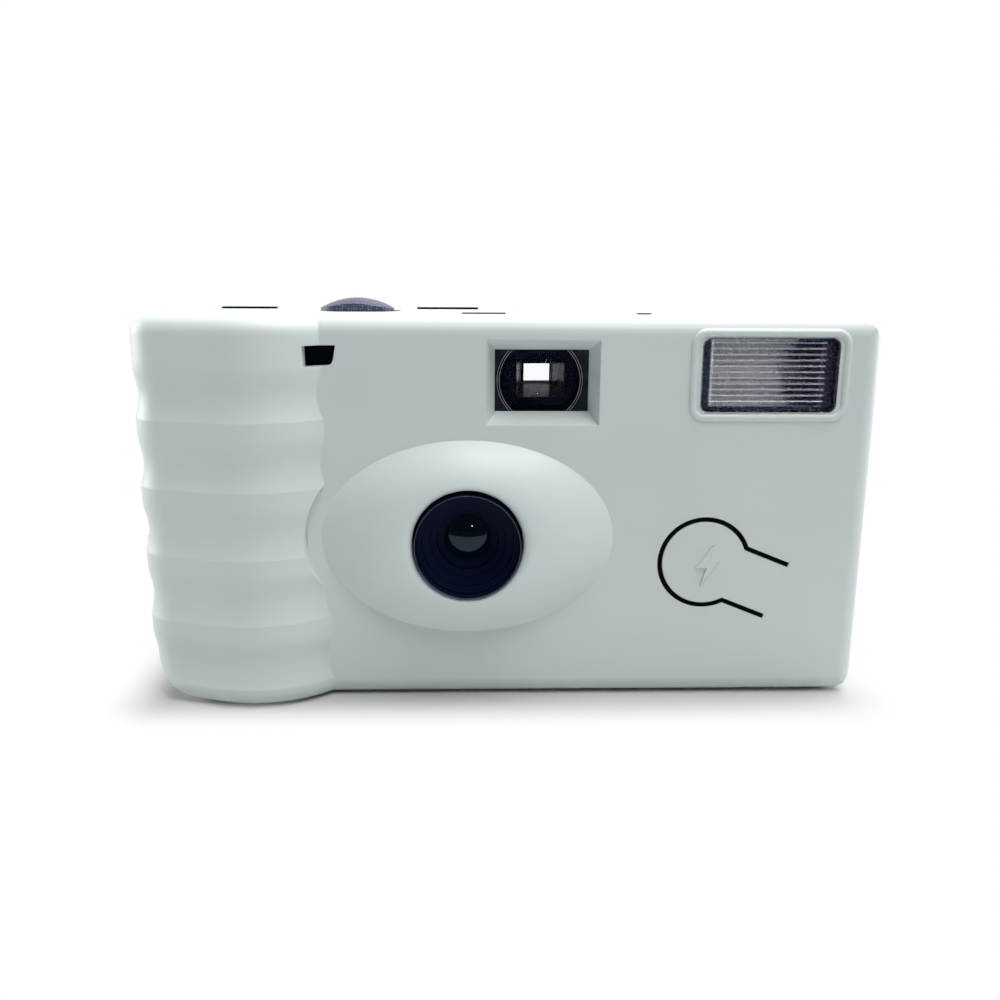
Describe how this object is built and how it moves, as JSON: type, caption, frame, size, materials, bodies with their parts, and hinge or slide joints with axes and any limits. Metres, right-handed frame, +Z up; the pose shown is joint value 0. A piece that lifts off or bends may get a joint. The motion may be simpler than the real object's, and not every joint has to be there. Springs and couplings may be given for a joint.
{
  "type": "disposable film camera",
  "caption": "Single-use 35 mm film camera with a ribbed finger grip, oval lens surround, viewfinder, flash with a push tongue, sprung shutter button and a thumb wheel that winds the film.",
  "frame": {"origin": "middle of the base of the bounding box", "axes": "+Z up, the lens looks along -Y, +X to the right when seen from the front"},
  "size_m": [0.117, 0.0372, 0.0642],
  "materials": {
    "white_plastic": "satin moulded",
    "black_plastic": "matte moulded",
    "grey_plastic": "satin moulded",
    "clear_plastic": "polished",
    "tube_glass": "polished",
    "spring_steel": "drawn",
    "blade_black": "matt black paint",
    "reflector": "vacuum plated",
    "cassette_tin": "plain lacquer",
    "film": "emulsion",
    "board": "solder mask",
    "parts_brown": "lacquered winding",
    "sleeve": "shrink sleeve",
    "cell_case": "plain sleeve"
  },
  "bodies": {
    "camera": {"front_cover": "white_plastic", "back_cover": "white_plastic", "lens_surround": "white_plastic", "main_frame": "black_plastic", "lens_barrel": "black_plastic", "shutter_plate": "black_plastic", "viewfinder_tube": "black_plastic", "ratchet_pawl": "grey_plastic", "taking_lens": "clear_plastic", "counter_window": "clear_plastic", "viewfinder_lens": "clear_plastic", "viewfinder_eyepiece": "clear_plastic", "flash_lens": "clear_plastic", "lamp_window": "clear_plastic", "flash_tube": "tube_glass", "ready_lamp": "tube_glass", "shutter_screws": "spring_steel", "blade_spring": "spring_steel", "trigger_spring": "spring_steel", "button_spring": "spring_steel", "sync_contact": "spring_steel", "flash_switch": "spring_steel", "battery_plus": "spring_steel", "battery_minus": "spring_steel", "flash_reflector": "reflector", "film_cassette": "cassette_tin", "film_strip": "film", "flash_board": "board", "board_components": "parts_brown", "flash_transformer": "parts_brown", "trigger_coil": "parts_brown", "flash_capacitor": "sleeve", "battery": "cell_case"},
    "shutter_release": {"shutter_button": "grey_plastic"},
    "release": {"release_lever": "grey_plastic"},
    "film_wind": {"thumb_wheel": "black_plastic", "cassette_spool": "black_plastic"},
    "supply": {"supply_spool": "black_plastic", "film_roll": "film"},
    "sprocket_wheel": {"sprocket": "grey_plastic"},
    "counter": {"counter_dial": "white_plastic"},
    "flash_key": {"flash_button": "white_plastic"},
    "trigger": {"trigger_lever": "grey_plastic"},
    "blade": {"shutter_blade": "blade_black"}
  },
  "joints": [
    {"name": "shutter_press", "type": "slide", "parent": "camera", "child": "shutter_release", "axis": [0, 0, -1], "range_m": [0, 0.0016], "stiffness_N_per_m": 600, "deforming": ["button_spring"]},
    {"name": "release_rock", "type": "hinge", "parent": "camera", "child": "release", "pos_m": [-0.018, -0.0036, 0.0509], "axis": [-1, 0, 0], "range_deg": [0, 14.4]},
    {"name": "film_wind_turn", "type": "hinge", "parent": "camera", "child": "film_wind", "pos_m": [-0.041, 0.0036, 0.053], "axis": [0, 0, 1], "continuous": true},
    {"name": "supply_turn", "type": "hinge", "parent": "camera", "child": "supply", "pos_m": [0.032, 0.00475, 0.027], "axis": [0, 0, 1], "continuous": true},
    {"name": "sprocket_turn", "type": "hinge", "parent": "camera", "child": "sprocket_wheel", "pos_m": [-0.0136, 0.00745, 0.045], "axis": [0, 0, 1], "continuous": true},
    {"name": "counter_turn", "type": "hinge", "parent": "camera", "child": "counter", "pos_m": [-0.0031, 0.0011, 0.058], "axis": [0, 0, 1], "continuous": true},
    {"name": "flash_press", "type": "hinge", "parent": "camera", "child": "flash_key", "pos_m": [0.0442, -0.012, 0.01803], "axis": [-0.3746, 0, -0.9272], "range_deg": [0, 4.5], "stiffness_Nm_per_rad": 0.2},
    {"name": "trigger_swing", "type": "hinge", "parent": "camera", "child": "trigger", "pos_m": [-0.009, -0.0046, 0.0486], "axis": [0, 0, -1], "range_deg": [0, 40], "stiffness_Nm_per_rad": 0.002},
    {"name": "blade_swing", "type": "hinge", "parent": "camera", "child": "blade", "pos_m": [-0.0136, -0.0091, 0.0371], "axis": [0, -1, 0], "range_deg": [0, 30.2], "stiffness_Nm_per_rad": 0.001}
  ],
  "couplings": [
    {"joint": "release_rock", "follows": "shutter_press", "rad_per_m": 156},
    {"joint": "supply_turn", "follows": "film_wind_turn", "ratio": 0.7},
    {"joint": "sprocket_turn", "follows": "film_wind_turn", "ratio": 1},
    {"joint": "counter_turn", "follows": "film_wind_turn", "ratio": -0.033333},
    {"joint": "blade_swing", "follows": "trigger_swing", "ratio": 0.75}
  ]
}
